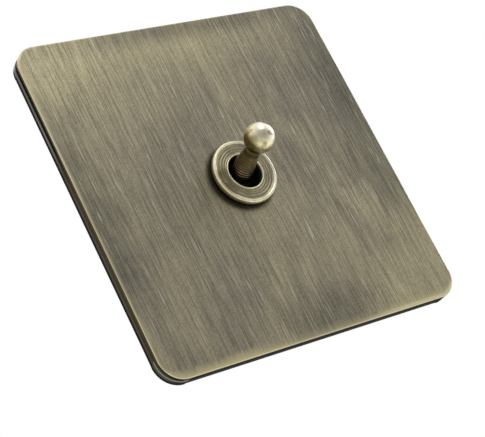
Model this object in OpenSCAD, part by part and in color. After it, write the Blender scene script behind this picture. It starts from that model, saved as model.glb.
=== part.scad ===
// Toggle wall switch: a square flat brass plate with a round collar and a
// ball-ended lever, on its yoke and its two-way switch module.
// X runs to the right, Z up and Y into the wall, whose surface is y = 0.
// The lever is drawn at the upper end of its throw.

/* [Face plate] */
// Side of the square plate
plate_side = 86; // [84:0.5:90]
// Radius of the plate's corners
plate_corner_r = 5.8; // [4:0.2:8]
// Thickness of the brass sheet
plate_t = 1; // [0.8:0.1:1.2]
// Side of the square on which the four locating pegs stand
peg_spacing = 66; // [62:1:68]

/* [Trim frame] */
// Depth of the band that shows round the plate
band_t = 1.8; // [1.6:0.1:2.2]
// Depth of the set-back step between the band and the plate
step_t = 0.9; // [0.8:0.1:1.2]
// How far the step is set back from the band
step_inset = 0.6; // [0.3:0.1:1]
// How far the band's straight sides are set in between its round corners
side_relief = 0.15; // [0.1:0.05:0.5]
// Width of the frame's outer wall
frame_wall = 3.5; // [3:0.1:4]

/* [Collar] */
// Outer diameter of the collar
collar_d = 16.6; // [16:0.1:17.4]
// Height of the collar above the plate
collar_h = 1.7; // [1.6:0.1:2.2]
// Diameter of the hole that the lever stands in
collar_hole_d = 8.7; // [8.5:0.1:9.2]
// Number of turned grooves on the collar's face
groove_count = 4; // [2:1:5]

/* [Lever] */
// Diameter of the ball
ball_d = 7.4; // [6.5:0.1:8]
// Distance from the plate's face to the ball's centre
ball_reach = 11.8; // [11:0.1:14]
// Whole throw of the lever, in degrees
throw_deg = 20; // [16:1:20]
// Diameter of the neck just under the ball
waist_d = 3.8; // [3.4:0.1:4]
// Diameter at the foot of the neck
neck_foot_d = 6.4; // [6:0.1:6.6]

/* [Switch module] */
// Outside diameter of the threaded nose
nose_d = 12; // [11.8:0.1:12.2]
// Width of the case
case_w = 26; // [25:0.5:28]
// Height of the case
case_h = 42; // [41:0.5:46]
// Whole tilt of the rocker contact, in degrees
rock_deg = 12; // [10:1:12]
// Distance between neighbouring terminals
terminal_pitch = 14; // [13.5:0.1:14.5]

/* [Yoke] */
// Distance between the two fixing slots
fixing_spacing = 60.3; // [60:0.1:60.6]
// Width of a fixing slot
slot_w = 4; // [3.8:0.1:4.4]
// Length of a fixing slot
slot_l = 7; // [6:0.5:8]
// Thickness of the steel strap
yoke_t = 1.2; // [1:0.1:1.5]

/* [Hidden] */
$fn = 96;

// Depths along Y, from the plate's face to the back of the case
frame_front_y = -(band_t + step_t);
plate_front_y = frame_front_y - plate_t;
web_t = 1;
web_rear_y = frame_front_y + web_t;
yoke_front_y = 0.1;
yoke_rear_y = yoke_front_y + yoke_t;
pivot_y = yoke_front_y + yoke_t / 2;
case_wall = 1.5;
case_front_t = 2;
cavity_front_y = yoke_rear_y + case_front_t;

// Collar, nose and the parts stacked on the nose
nose_r = nose_d / 2;
nose_bore_r = 4.4;
nose_top_h = 0.8;
nose_clearance = 0.1;
collar_r = collar_d / 2;
collar_hole_r = collar_hole_d / 2;
collar_skirt_r = nose_r + 0.9;
collar_skirt_l = 1.6;
plate_hole_r = collar_skirt_r + 0.1;
groove_w = 0.14;
washer_t = 0.5;
nut_t = 1.4;
nut_flats = 17;
web_hole_r = 10.5;

// Locating pegs under the plate, and their holes
peg_r = 1.5;
peg_l = 0.8;
peg_clearance = 0.2;

// Snap hooks of the frame, which grip the yoke's upper and lower edges
hook_w = 6;
hook_x = 12;
hook_t = 1.2;
hook_barb = 0.7;
hook_play = 0.1;

// Yoke outline
yoke_w = 50;
yoke_h = 56;
ear_w = 71;
ear_h = 16;
yoke_corner_r = 3;
key_r = 1.5;
key_z = 16;
key_clearance = 0.1;

// Lever and hub, measured from their pivot along the lever's own axis
lever_tilt = throw_deg / 2;
ball_r = ball_d / 2;
ball_s = (ball_reach - plate_front_y + pivot_y) / cos(lever_tilt);
neck_foot_s = 3.6;
waist_s = ball_s - 0.9 * ball_r;
neck_steps = 10;
spigot_r = 2;
spigot_end_s = -1.8;
hub_r = 4.15;
hub_play = 0.03;
tail_r = 2.6;
tail_l = 7.5;
pin_r = 1;
pin_play = 0.05;
pin_l = nose_d - 0.1;

// Plunger and its spring, in a bore in the hub's tail
plunger_r = 1.4;
plunger_play = 0.05;
plunger_bore_s = -2.8;
plunger_back_s = -5.6;
plunger_shoulder_s = -8.5;
plunger_tip_r = 0.9;
plunger_tip_s = -9.6;
seat_r = 0.7;
seat_l = 0.7;
spring_r = 1.1;
spring_wire_r = 0.18;
spring_turns = 5;
spring_steps = 16;
spring_sides = 8;

// Rocker contact. Its pivot lies rocker_gap beyond the plunger tip's centre.
rocker_gap = 3.2;
rocker_y = pivot_y - plunger_tip_s + rocker_gap;
rocker_w = 5;
rocker_half_l = 12.5;
rocker_block = 2.6;
rocker_block_foot = 0.2;
rocker_block_top = 3.6;
wing_low = 1.6;
wing_t = 1;
fulcrum_r = 1;
fulcrum_play = 0.05;
half_rock = rock_deg / 2;

// The trough that the plunger's tip runs in. The tip's centre follows a path
// past the rocker that is very nearly an arc; its two ends and its middle set
// the arc's radius, and the trough stands trough_play clear of the tip.
trough_play = 0.06;
tip_drop = rocker_gap - plunger_tip_s * (1 - cos(lever_tilt));
tip_side = -plunger_tip_s * sin(lever_tilt);
path_end_u = tip_drop * sin(half_rock) - tip_side * cos(half_rock);
path_end_v = tip_drop * cos(half_rock) + tip_side * sin(half_rock);
path_rise = path_end_v - rocker_gap;
path_r = (path_end_u * path_end_u + path_rise * path_rise) / (2 * path_rise);
trough_v = rocker_gap + path_r;
trough_r = path_r + plunger_tip_r + trough_play;

// Silver contacts
tip_u = 10.5;
tip_r = 1.5;
tip_rim = 0.5;
tip_dome = 0.4;
tip_dome_r = (tip_r * tip_r + tip_dome * tip_dome) / (2 * tip_dome);
tip_shank_r = 0.8;
tip_head_r = 1.2;
tip_head_t = 0.4;
tip_v = wing_low - tip_rim - tip_dome;
fixed_tip_r = 1.8;
contact_play = 0.05;
closed_y = rocker_y - tip_v * cos(half_rock) + tip_u * sin(half_rock);
fixed_tip_y = closed_y + contact_play;
fixed_tip_t = 0.75;

// Terminals: a strip on the base's front face and a clamp block behind it
strip_w = 5;
strip_t = 1;
strip_y = fixed_tip_y + fixed_tip_t;
strip_inner_z = 8.6;
base_y = strip_y + strip_t;
block_side = 6.4;
block_l = 7.5;
block_rear_y = base_y + block_l;
common_half_l = 4;
post_t = 1.2;
wire_r = 1.6;
wire_y = base_y + 3.6;
screw_r = 1.4;
screw_hole_r = 1.45;
screw_tip_gap = 0.4;
screw_head_r = 2.6;
screw_head_t = 1.3;
screw_backed_out = 0.3;
drive_w = 0.6;
drive_depth = 0.5;

// Terminal base
pocket_play = 0.2;
base_rear_t = 1.9;
base_rear_y = block_rear_y + pocket_play / 2 + base_rear_t;
access_r = 3.2;
entry_r = 2;
barrier_w = 2;
barrier_l = 20;
barrier_depth = 3;

// Rivets that join the two halves of the case
rivet_x = case_w / 2 - 2.5;
rivet_z = case_h / 2 - 2.5;
rivet_r = 1.2;
rivet_play = 0.05;
rivet_head_r = 2;
rivet_head_t = 0.7;
pillar_r = 2.4;

// Earth terminal, on the back of the yoke
earth_x = -19.5;
earth_z = -18;
earth_l = 8;
earth_wire_y = yoke_rear_y + 3.9;
earth_rear_y = yoke_rear_y + earth_l;
earth_rivet_r = 1.3;
earth_rivet_l = 1.6;
earth_rivet_head_r = 2.4;
earth_rivet_head_t = 0.6;

// ---- Shapes that several parts share ----

// A flat outline drawn in X and Z, made solid from depth y0 to depth y1
module slab(y0, y1) {
    translate([0, y1, 0])
        rotate([90, 0, 0])
            linear_extrude(y1 - y0)
                children();
}

// An outline drawn in Y and Z, made solid across X about the middle
module bar_x(w) {
    rotate([90, 0, 90])
        linear_extrude(w, center = true)
            children();
}

// A round rod along X, about the middle
module rod_x(r, l) {
    rotate([0, 90, 0])
        cylinder(r = r, h = l, center = true);
}

// A round rod along Y, from depth y0 to depth y1
module rod_y(r, y0, y1) {
    slab(y0, y1)
        circle(r);
}

// A rectangle with round corners, about the middle
module rounded_rect(w, h, r) {
    square([w - 2 * r, h], center = true);
    square([w, h - 2 * r], center = true);
    for (x = [-1, 1], z = [-1, 1])
        translate([x * (w / 2 - r), z * (h / 2 - r)])
            circle(r);
}

// A slot with round ends along X, about the middle
module slot_outline(l, w) {
    square([l - w, w], center = true);
    for (x = [-1, 1])
        translate([x * (l - w) / 2, 0])
            circle(w / 2);
}

// Copies at the four corners of a rectangle, x and z from the middle
module at_corners(x, z) {
    for (sx = [-1, 1], sz = [-1, 1])
        translate([sx * x, 0, sz * z])
            children();
}

// Copies at the three case terminals
module at_terminals() {
    for (i = [-1, 0, 1])
        translate([0, 0, i * terminal_pitch])
            children();
}

// The lever's own frame: pivot at the origin, Z towards the ball
module lever_frame() {
    translate([0, pivot_y, 0])
        rotate([90 - lever_tilt, 0, 0])
            children();
}

// The rocker's own frame: pivot at the origin, Z towards the lever, Y along it
module rocker_frame() {
    translate([0, rocker_y, 0])
        rotate([90 + half_rock, 0, 0])
            children();
}

// A clamp block with a wire bore across X and a tapped hole from the rear
module clamp_block(y0, y1, bore_y) {
    difference() {
        slab(y0, y1)
            square(block_side, center = true);
        translate([0, bore_y, 0])
            rod_x(wire_r, block_side + 1);
        rod_y(screw_hole_r, bore_y, y1 + 1);
    }
}

// A slotted clamp screw, backed out so that the wire bore stays clear
module clamp_screw(bore_y, rear_y) {
    head_y = rear_y + screw_backed_out;
    difference() {
        union() {
            rod_y(screw_r, bore_y + wire_r + screw_tip_gap, head_y + screw_head_t / 2);
            rod_y(screw_head_r, head_y, head_y + screw_head_t);
        }
        slab(head_y + screw_head_t - drive_depth, head_y + screw_head_t + 1)
            square([2 * screw_head_r + 1, drive_w], center = true);
    }
}

// ---- What is seen from the room ----

// Brass sheet with the collar's hole, and four pegs welded to its back
module face_plate() {
    color("#8f8a72") {
        difference() {
            slab(plate_front_y, frame_front_y)
                rounded_rect(plate_side, plate_side, plate_corner_r);
            rod_y(plate_hole_r, plate_front_y - 1, frame_front_y + 1);
        }
        at_corners(peg_spacing / 2, peg_spacing / 2)
            rod_y(peg_r, frame_front_y - plate_t / 2, frame_front_y + peg_l);
    }
}

// The web inside the frame, with holes for the nut, the pegs and the fixings
module frame_web() {
    difference() {
        slab(frame_front_y, web_rear_y)
            rounded_rect(plate_side - frame_wall, plate_side - frame_wall, plate_corner_r - 1);
        rod_y(web_hole_r, frame_front_y - 1, web_rear_y + 1);
        at_corners(peg_spacing / 2, peg_spacing / 2)
            rod_y(peg_r + peg_clearance, frame_front_y - 1, web_rear_y + 1);
        for (x = [-1, 1])
            translate([x * fixing_spacing / 2, 0, 0])
                rod_y(slot_w / 2 + 2.6, frame_front_y - 1, web_rear_y + 1);
    }
}

// One snap hook, on the upper side of the frame
module frame_hook() {
    leg_z = yoke_h / 2 + 0.2;
    barb_y = yoke_rear_y + hook_play;
    tip_y = barb_y + 1.2;
    bar_x(hook_w)
        polygon([
            [web_rear_y - 0.2, leg_z],
            [barb_y, leg_z],
            [barb_y, leg_z - hook_barb],
            [tip_y, leg_z + 0.1],
            [tip_y, leg_z + hook_t],
            [web_rear_y - 0.2, leg_z + hook_t]
        ]);
}

// Black frame: set-back step, glossy band, stiffened web and snap hooks
module trim_frame() {
    inner = plate_side - 2 * frame_wall;
    step_side = plate_side - 2 * step_inset;
    side_l = plate_side - 2 * plate_corner_r;
    rib_rear_y = -0.2;
    rib_l = inner / 2 - web_hole_r - hook_t / 2;
    color("#17171a") {
        difference() {
            union() {
                slab(frame_front_y, -band_t)
                    rounded_rect(step_side, step_side, plate_corner_r - step_inset);
                slab(-band_t, 0)
                    rounded_rect(plate_side, plate_side, plate_corner_r);
            }
            slab(frame_front_y - 1, 1)
                rounded_rect(inner, inner, plate_corner_r - 2);
            for (turn = [0 : 90 : 270])
                rotate([0, turn, 0])
                    translate([plate_side / 2, 0, 0])
                        slab(-band_t - 0.1, 1)
                            square([2 * side_relief, side_l], center = true);
        }
        frame_web();
        difference() {
            rod_y(web_hole_r + hook_t, web_rear_y - 0.2, rib_rear_y);
            rod_y(web_hole_r, web_rear_y - 1, rib_rear_y + 1);
        }
        for (z = [-1, 1])
            translate([0, 0, z * (web_hole_r + hook_t / 2 + rib_l / 2)])
                slab(web_rear_y - 0.2, rib_rear_y)
                    square([hook_t, rib_l], center = true);
        for (x = [-1, 1], m = [0, 1])
            translate([x * hook_x, 0, 0])
                mirror([0, 0, m])
                    frame_hook();
    }
}

// Turned ring nut: rounded rim, grooved face, thin lip round the hole, and a
// threaded skirt that passes through the plate on to the nose
module collar() {
    face_h = collar_h - 0.25;
    lip_r = collar_hole_r + 0.5;
    face_r = collar_r - 0.8;
    thread_r = nose_r + nose_clearance;
    groove_step = (face_r - lip_r - 0.6) / groove_count;
    color("#b5a76d")
        translate([0, plate_front_y, 0])
            rotate([90, 0, 0])
                difference() {
                    rotate_extrude()
                        polygon([
                            [collar_r, 0],
                            [collar_r, collar_h - 0.5],
                            [collar_r - 0.12, collar_h - 0.18],
                            [collar_r - 0.4, collar_h],
                            [face_r + 0.15, collar_h - 0.06],
                            [face_r, face_h],
                            [lip_r, face_h - 0.04],
                            [lip_r - 0.06, collar_h - 0.1],
                            [lip_r - 0.25, collar_h],
                            [collar_hole_r, collar_h - 0.2],
                            [collar_hole_r, nose_top_h + nose_clearance],
                            [thread_r, nose_top_h + nose_clearance],
                            [thread_r, -collar_skirt_l],
                            [collar_skirt_r, -collar_skirt_l],
                            [collar_skirt_r, 0]
                        ]);
                    for (i = [1:groove_count])
                        rotate_extrude()
                            translate([lip_r + i * groove_step, face_h - 0.1])
                                square([groove_w, 1]);
                }
}

// Turned lever: ball, narrow waist, flared neck, and a spigot in the hub
module toggle_lever() {
    foot_r = neck_foot_d / 2;
    waist_r = waist_d / 2;
    neck_l = waist_s - neck_foot_s;
    neck = [
        for (i = [0:neck_steps])
            let (t = i / neck_steps)
                [waist_r + (foot_r - waist_r) * pow(1 - t, 1.4), neck_foot_s + t * neck_l]
    ];
    color("#a3935c")
        lever_frame()
            difference() {
                union() {
                    rotate_extrude()
                        polygon(concat(
                            [[0, spigot_end_s], [spigot_r, spigot_end_s], [spigot_r, neck_foot_s]],
                            neck,
                            [[waist_r, ball_s], [0, ball_s]]
                        ));
                    translate([0, 0, ball_s])
                        sphere(ball_r);
                }
                rod_x(pin_r + pin_play, 3 * spigot_r);
            }
}

// Black insulating hub: a ball that closes the nose, with a socket for the
// lever's spigot, the pivot's cross hole, and a tail bored for the plunger
module lever_hub() {
    color("#1e1e20")
        lever_frame()
            difference() {
                union() {
                    sphere(hub_r);
                    translate([0, 0, -tail_l])
                        cylinder(r = tail_r, h = tail_l);
                }
                translate([0, 0, neck_foot_s])
                    cylinder(r = hub_r, h = hub_r);
                translate([0, 0, spigot_end_s - hub_play])
                    cylinder(r = spigot_r + hub_play, h = 2 * hub_r);
                rod_x(pin_r + pin_play, 3 * hub_r);
                translate([0, 0, -tail_l - 1])
                    cylinder(r = plunger_r + plunger_play, h = plunger_bore_s + tail_l + 1);
            }
}

// ---- What holds it together ----

// Steel pin across the nose, kept in by the yoke's hole
module pivot_pin() {
    color("#c9ccd0")
        translate([0, pivot_y, 0])
            rod_x(pin_r, pin_l);
}

// Thin hexagon nut on the nose
module lock_nut() {
    color("#b9a05a")
        difference() {
            slab(yoke_front_y - washer_t - nut_t, yoke_front_y - washer_t)
                circle(nut_flats / sqrt(3), $fn = 6);
            rod_y(nose_r + nose_clearance / 2, yoke_front_y - 10, yoke_front_y + 10);
        }
}

// Shakeproof washer with notches round its edge
module lock_washer() {
    washer_r = nut_flats / 2 + 0.9;
    notches = 12;
    color("#9ea3a8")
        slab(yoke_front_y - washer_t, yoke_front_y)
            difference() {
                circle(washer_r);
                circle(nose_r + nose_clearance);
                for (i = [0:notches - 1])
                    rotate(i * 360 / notches)
                        translate([washer_r, 0])
                            square([1.6, 1.2], center = true);
            }
}

// Steel strap with two ears, the fixing slots, and holes for nose, keys and rivet
module mounting_yoke() {
    color("#b7bcc2")
        difference() {
            slab(yoke_front_y, yoke_rear_y)
                union() {
                    rounded_rect(yoke_w, yoke_h, yoke_corner_r);
                    rounded_rect(ear_w, ear_h, yoke_corner_r);
                }
            slab(yoke_front_y - 1, yoke_rear_y + 1) {
                circle(nose_r + nose_clearance);
                for (x = [-1, 1])
                    translate([x * fixing_spacing / 2, 0])
                        slot_outline(slot_l, slot_w);
                for (z = [-1, 1])
                    translate([0, z * key_z])
                        circle(key_r + key_clearance);
                translate([earth_x, earth_z])
                    circle(earth_rivet_r + rivet_play);
            }
        }
}

// Front half of the case: nose, keys, side walls and the rivets' pillars
module case_cover() {
    inner_w = case_w - 2 * case_wall;
    inner_h = case_h - 2 * case_wall;
    nose_top_y = plate_front_y - nose_top_h;
    color("#1b1b1e")
        difference() {
            union() {
                slab(yoke_rear_y, cavity_front_y)
                    rounded_rect(case_w, case_h, 1.5);
                difference() {
                    slab(yoke_rear_y, base_y)
                        rounded_rect(case_w, case_h, 1.5);
                    slab(yoke_rear_y - 1, base_y + 1)
                        square([inner_w, inner_h], center = true);
                }
                at_corners(rivet_x, rivet_z)
                    rod_y(pillar_r, yoke_rear_y + 0.5, base_y);
                rod_y(nose_r, nose_top_y, yoke_rear_y + 0.5);
                for (z = [-1, 1])
                    translate([0, 0, z * key_z])
                        rod_y(key_r, yoke_front_y + 0.2, yoke_rear_y + 0.5);
            }
            rod_y(nose_bore_r, nose_top_y - 1, cavity_front_y + 1);
            translate([0, pivot_y, 0])
                rod_x(pin_r + rivet_play / 2, nose_d + 2);
            at_corners(rivet_x, rivet_z) {
                rod_y(rivet_r + rivet_play, yoke_rear_y - 1, base_y + 1);
                rod_y(rivet_head_r + rivet_play, yoke_rear_y - 1, yoke_rear_y + rivet_head_t + 0.1);
            }
        }
}

// Rear half of the case: pockets for the clamp blocks, wire entries on the
// left, screw access at the back and two barrier grooves
module terminal_base() {
    pocket = block_side + 2 * pocket_play;
    pocket_rear_y = block_rear_y + pocket_play / 2;
    entry_l = case_w / 2;
    color("#232326")
        difference() {
            slab(base_y, base_rear_y)
                rounded_rect(case_w, case_h, 1.5);
            at_terminals() {
                slab(base_y - 1, pocket_rear_y)
                    square(pocket, center = true);
                rod_y(access_r, pocket_rear_y - 1, base_rear_y + 1);
                translate([-entry_l / 2 - 1, wire_y, 0])
                    rod_x(entry_r, entry_l);
            }
            for (i = [-1, 1])
                translate([0, 0, i * terminal_pitch / 2])
                    slab(base_rear_y - barrier_depth, base_rear_y + 1)
                        square([barrier_l, barrier_w], center = true);
            at_corners(rivet_x, rivet_z)
                rod_y(rivet_r + rivet_play, base_y - 1, base_rear_y + 1);
        }
}

// Four rivets, head sunk in the cover and closed over on the base
module case_rivets() {
    head_y = yoke_rear_y + 0.1;
    color("#b08d3e")
        at_corners(rivet_x, rivet_z) {
            rod_y(rivet_r, head_y, base_rear_y + 0.1);
            rod_y(rivet_head_r, head_y, head_y + rivet_head_t);
            rod_y(rivet_head_r, base_rear_y, base_rear_y + rivet_head_t);
        }
}

// ---- The moving contact and what drives it ----

// Nylon plunger with a rounded tip and a seat for the spring
module plunger() {
    color("#d8d2c0")
        lever_frame() {
            rotate_extrude()
                polygon([
                    [0, plunger_back_s + seat_l],
                    [seat_r, plunger_back_s + seat_l],
                    [seat_r, plunger_back_s],
                    [plunger_r, plunger_back_s],
                    [plunger_r, plunger_shoulder_s],
                    [plunger_tip_r, plunger_tip_s + 0.3],
                    [plunger_tip_r, plunger_tip_s],
                    [0, plunger_tip_s]
                ]);
            translate([0, 0, plunger_tip_s])
                sphere(plunger_tip_r);
        }
}

// Coil spring between the bore's end and the plunger
module plunger_spring() {
    top_s = plunger_bore_s - spring_wire_r - 0.05;
    low_s = plunger_back_s + spring_wire_r + 0.05;
    rings = spring_turns * spring_steps;
    points = [
        for (i = [0:rings])
            let (turn = i * 360 / spring_steps)
                let (s = low_s + (top_s - low_s) * i / rings)
                    for (j = [0:spring_sides - 1])
                        let (a = j * 360 / spring_sides)
                            let (r = spring_r + spring_wire_r * cos(a))
                                [r * cos(turn), r * sin(turn), s + spring_wire_r * sin(a)]
    ];
    walls = [
        for (i = [0:rings - 1], j = [0:spring_sides - 1])
            let (k = (j + 1) % spring_sides)
                let (a = i * spring_sides)
                    [a + j, a + k, a + k + spring_sides, a + j + spring_sides]
    ];
    first_cap = [for (j = [0:spring_sides - 1]) spring_sides - 1 - j];
    last_cap = [for (j = [0:spring_sides - 1]) rings * spring_sides + j];
    color("#c9ccd0")
        lever_frame()
            polyhedron(points, concat([first_cap, last_cap], walls));
}

// Boat-shaped rocker: a block with the trough and the fulcrum's seat, two wings
module rocker_contact() {
    color("#b8733a")
        rocker_frame()
            difference() {
                bar_x(rocker_w)
                    difference() {
                        union() {
                            translate([-rocker_half_l, wing_low])
                                square([2 * rocker_half_l, wing_t]);
                            translate([-rocker_block, rocker_block_foot])
                                square([2 * rocker_block, rocker_block_top - rocker_block_foot]);
                        }
                        circle(fulcrum_r + fulcrum_play);
                        translate([0, trough_v])
                            circle(trough_r);
                    }
                for (i = [-1, 1])
                    translate([0, i * tip_u, 0])
                        cylinder(r = tip_shank_r + rivet_play, h = wing_low + wing_t + 1);
            }
}

// Two silver contact rivets, domed on the side that makes contact
module moving_contacts() {
    dome_v = tip_v + tip_dome_r;
    color("#d9dbdd")
        rocker_frame()
            for (i = [-1, 1])
                translate([0, i * tip_u, 0]) {
                    intersection() {
                        translate([0, 0, dome_v])
                            sphere(tip_dome_r);
                        translate([0, 0, tip_v - 0.5])
                            cylinder(r = tip_r, h = wing_low - tip_v + 0.5);
                    }
                    translate([0, 0, wing_low - 0.2])
                        cylinder(r = tip_shank_r, h = wing_t + 0.4);
                    translate([0, 0, wing_low + wing_t])
                        cylinder(r = tip_head_r, h = tip_head_t);
                }
}

// ---- Terminals ----

// Middle terminal: strip, clamp block, and the fulcrum that the rocker tips on
module common_terminal() {
    color("#c2a24a") {
        slab(strip_y, base_y)
            square([strip_w, 2 * common_half_l], center = true);
        slab(rocker_y, strip_y + strip_t / 2)
            square([strip_w, post_t], center = true);
        translate([0, rocker_y, 0])
            rod_x(fulcrum_r, strip_w);
        clamp_block(base_y, block_rear_y, wire_y);
    }
}

// Line terminal: strip under the fixed contact, and its clamp block
module line_terminal() {
    outer_z = terminal_pitch + block_side / 2;
    color("#c2a24a") {
        translate([0, 0, (strip_inner_z + outer_z) / 2])
            slab(strip_y, base_y)
                square([strip_w, outer_z - strip_inner_z], center = true);
        translate([0, 0, terminal_pitch])
            clamp_block(base_y, block_rear_y, wire_y);
    }
}

module upper_terminal() {
    line_terminal();
}

module lower_terminal() {
    mirror([0, 0, 1])
        line_terminal();
}

// Two flat silver contacts, brazed to the line terminals' strips
module fixed_contacts() {
    color("#d9dbdd")
        for (z = [-1, 1])
            translate([0, 0, z * tip_u])
                rod_y(fixed_tip_r, fixed_tip_y, strip_y);
}

module terminal_screws() {
    color("#cdb96a")
        at_terminals()
            clamp_screw(wire_y, block_rear_y);
}

// Earth clamp block, with a blind hole for its rivet
module earth_terminal() {
    color("#c2a24a")
        translate([earth_x, 0, earth_z])
            difference() {
                clamp_block(yoke_rear_y, earth_rear_y, earth_wire_y);
                rod_y(earth_rivet_r + rivet_play, yoke_rear_y - 1, yoke_rear_y + earth_rivet_l + 0.1);
            }
}

module earth_screw() {
    color("#cdb96a")
        translate([earth_x, 0, earth_z])
            clamp_screw(earth_wire_y, earth_rear_y);
}

// Rivet that fastens the earth block to the yoke
module earth_rivet() {
    color("#b08d3e")
        translate([earth_x, 0, earth_z]) {
            rod_y(earth_rivet_head_r, yoke_front_y - earth_rivet_head_t, yoke_front_y);
            rod_y(earth_rivet_r, yoke_front_y - 0.1, yoke_rear_y + earth_rivet_l);
        }
}

face_plate();
trim_frame();
collar();
toggle_lever();
lever_hub();
pivot_pin();
lock_nut();
lock_washer();
mounting_yoke();
case_cover();
terminal_base();
case_rivets();
plunger();
plunger_spring();
rocker_contact();
moving_contacts();
common_terminal();
upper_terminal();
lower_terminal();
fixed_contacts();
terminal_screws();
earth_terminal();
earth_screw();
earth_rivet();
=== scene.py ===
import math

import bmesh
import bpy
from mathutils import Matrix, Vector


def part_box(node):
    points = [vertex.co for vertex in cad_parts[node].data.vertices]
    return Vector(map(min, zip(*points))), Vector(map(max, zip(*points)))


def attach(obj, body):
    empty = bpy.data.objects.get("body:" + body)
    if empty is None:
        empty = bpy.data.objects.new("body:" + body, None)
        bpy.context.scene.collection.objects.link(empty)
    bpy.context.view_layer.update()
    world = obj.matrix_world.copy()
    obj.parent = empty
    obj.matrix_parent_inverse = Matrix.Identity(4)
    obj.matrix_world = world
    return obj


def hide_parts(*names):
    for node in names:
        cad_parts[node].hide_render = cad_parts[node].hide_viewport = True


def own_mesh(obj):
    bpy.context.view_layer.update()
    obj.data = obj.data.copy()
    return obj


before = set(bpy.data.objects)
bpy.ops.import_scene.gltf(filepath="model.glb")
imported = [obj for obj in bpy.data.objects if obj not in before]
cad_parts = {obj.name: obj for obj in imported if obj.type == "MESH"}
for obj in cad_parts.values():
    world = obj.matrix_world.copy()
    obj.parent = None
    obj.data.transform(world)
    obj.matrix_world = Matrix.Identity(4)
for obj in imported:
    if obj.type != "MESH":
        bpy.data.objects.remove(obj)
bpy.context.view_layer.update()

MM = 0.001
scene = bpy.context.scene
scene.view_settings.view_transform = "Standard"
scene.view_settings.look = "None"


# ---- Sizes, in millimetres. S in a name is a place along the lever's axis ----


def box_mm(node):
    """Lowest and highest corner of a CAD node, in millimetres."""
    low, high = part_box(node)
    return low / MM, high / MM


PLATE_LOW, PLATE_HIGH = box_mm("face_plate")
FRAME_LOW, FRAME_HIGH = box_mm("trim_frame")
COLLAR_LOW, COLLAR_HIGH = box_mm("collar")
YOKE_LOW, YOKE_HIGH = box_mm("mounting_yoke")
COVER_LOW, COVER_HIGH = box_mm("case_cover")
BASE_LOW, BASE_HIGH = box_mm("terminal_base")
NUT_LOW, NUT_HIGH = box_mm("lock_nut")
WASHER_LOW, WASHER_HIGH = box_mm("lock_washer")

PLATE_SIDE = PLATE_HIGH.x - PLATE_LOW.x
PLATE_CORNER = 5.8
FRONT_Y = PLATE_LOW.y
PLATE_BACK_Y = FRONT_Y + 1.0
# The frame: front of its band, how far its sides are set in, its web's rear and its wall
BAND_Y = -1.8
RELIEF = 0.15
WEB_REAR_Y = PLATE_BACK_Y + 1.0
FRAME_WALL = 3.5
PEG = 33.0
COLLAR_R = COLLAR_HIGH.x
HOLE_R = 4.35
NOSE_R = 6.0
NOSE_HOLE_R = 6.1
NOSE_ROOT_R = 5.72
TILT = math.radians(10)
PIVOT_Y = (YOKE_LOW.y + YOKE_HIGH.y) / 2
BALL_R = 3.698
BALL_S = (11.8 - FRONT_Y + PIVOT_Y) / math.cos(TILT)
BORE_END = -2.8
PIN_R = 1.0
KEYS = (-16, 16)
PITCH = 14.0
TERMINALS = (-PITCH, 0.0, PITCH)
EARTH_X, EARTH_Z = -19.5, -18.0
RIVET_X = COVER_HIGH.x - 2.5
RIVET_Z = COVER_HIGH.z - 2.5
RIVET_R, RIVET_HOLE_R = 1.2, 1.25
CASE_CORNER = 1.5
FIXING_X = 30.15
SIDES = (-1, 1)
CORNERS = ((-1, -1), (-1, 1), (1, -1), (1, 1))
CORNER_STEPS, LEAST_CORNER = 14, 0.4

# Distances within which points are one, in built meshes, in CAD nodes and after rounding,
# and the angle up to which faces are one
WELD, CAD_WELD, SLIVER = 1e-4, 1e-3, 0.002
FLAT = math.radians(0.5)


# ---- Mesh tools. Profiles and outlines are in millimetres, meshes in metres ----


def arc_points(cx, cy, r, a0, a1, n):
    """n + 1 points on an arc, from angle a0 to a1 in degrees."""
    return [
        (
            cx + r * math.cos(math.radians(a0 + (a1 - a0) * i / n)),
            cy + r * math.sin(math.radians(a0 + (a1 - a0) * i / n)),
        )
        for i in range(n + 1)
    ]


def rounded_rect(w, h, r, n=12, cx=0.0, cy=0.0):
    """Outline of a rectangle with round corners, counter-clockwise."""
    points = []
    for sx, sy, a in ((1, 1, 0), (-1, 1, 90), (-1, -1, 180), (1, -1, 270)):
        points += arc_points(cx + sx * (w / 2 - r), cy + sy * (h / 2 - r), r, a, a + 90, n)
    return points


def circle(r, n, cx=0.0, cy=0.0):
    return arc_points(cx, cy, r, 0, 360, n)[:-1]


def slot_outline(length, width, n, cx):
    """Outline of a level slot with round ends."""
    r = width / 2
    half = length / 2 - r
    return arc_points(cx + half, 0, r, -90, 90, n) + arc_points(cx - half, 0, r, 90, 270, n)


def softened(profile, radius, steps=3, closed=False):
    """The profile with each corner rounded, by less where its sides are short."""
    out = []
    count = len(profile)
    for i, p in enumerate(profile):
        if not closed and i in (0, count - 1):
            out.append(p)
            continue
        a, c = Vector(profile[i - 1]), Vector(profile[(i + 1) % count])
        b = Vector(p)
        before, after = a - b, c - b
        if before.length < 1e-6 or after.length < 1e-6:
            out.append(p)
            continue
        cut = min(radius, before.length * 0.45, after.length * 0.45)
        start, end = b + before.normalized() * cut, b + after.normalized() * cut
        for k in range(steps + 1):
            t = k / steps
            q = start * (1 - t) ** 2 + b * 2 * t * (1 - t) + end * t**2
            out.append((q.x, q.y))
    return out


def linked(name, bm):
    """A new object in the scene, with bm's faces turned outwards."""
    bmesh.ops.recalc_face_normals(bm, faces=bm.faces)
    mesh = bpy.data.meshes.new(name)
    bm.to_mesh(mesh)
    bm.free()
    obj = bpy.data.objects.new(name, mesh)
    scene.collection.objects.link(obj)
    return obj


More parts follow.
